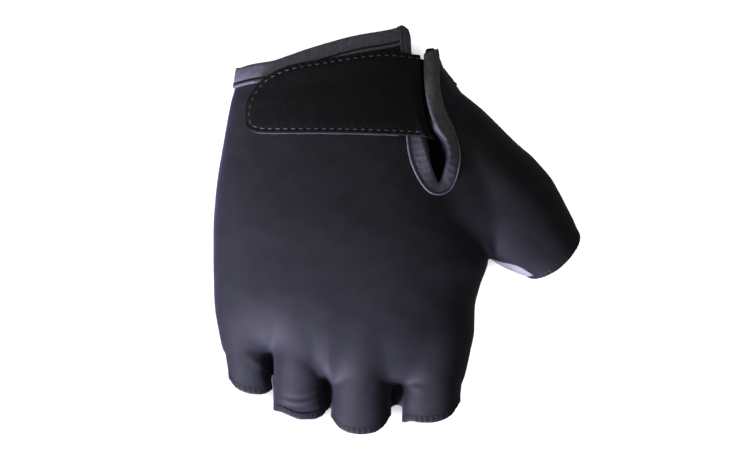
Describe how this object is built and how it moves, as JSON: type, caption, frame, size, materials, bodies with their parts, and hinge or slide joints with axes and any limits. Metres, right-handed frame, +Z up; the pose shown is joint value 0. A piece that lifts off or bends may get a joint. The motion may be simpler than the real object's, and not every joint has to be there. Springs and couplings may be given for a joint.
{
  "type": "fingerless cycling glove",
  "caption": "Right-hand fingerless cycling glove with a foam-backed knit back, suede palm, taped wrist slit and a hook-and-loop wrist strap.",
  "frame": {"origin": "on the surface that the palm lies on, below the middle of the glove's bounding box", "axes": "+X towards the thumb's side, +Y towards the wrist, +Z up out of the back of the hand"},
  "size_m": [0.1396, 0.1554, 0.0364],
  "materials": {
    "back_knit": "smooth stretch knit over thin foam, faint sheen",
    "palm_suede": "light grey synthetic suede, matt",
    "side_knit": "plain black stretch knit",
    "binding_tape": "folded grey stretch tape, soft",
    "strap_loop": "matt brushed fabric, stitched round its edge",
    "hook_sheet": "thin grey hook sheet"
  },
  "bodies": {
    "root": {"back_panel": "back_knit", "palm_panel": "palm_suede", "fourchette_little_ring": "side_knit", "fourchette_ring_middle": "side_knit", "fourchette_middle_index": "side_knit", "cuff_binding": "binding_tape", "slit_binding": "binding_tape", "closure_strap": "strap_loop", "strap_backing": "hook_sheet"}
  },
  "joints": []
}
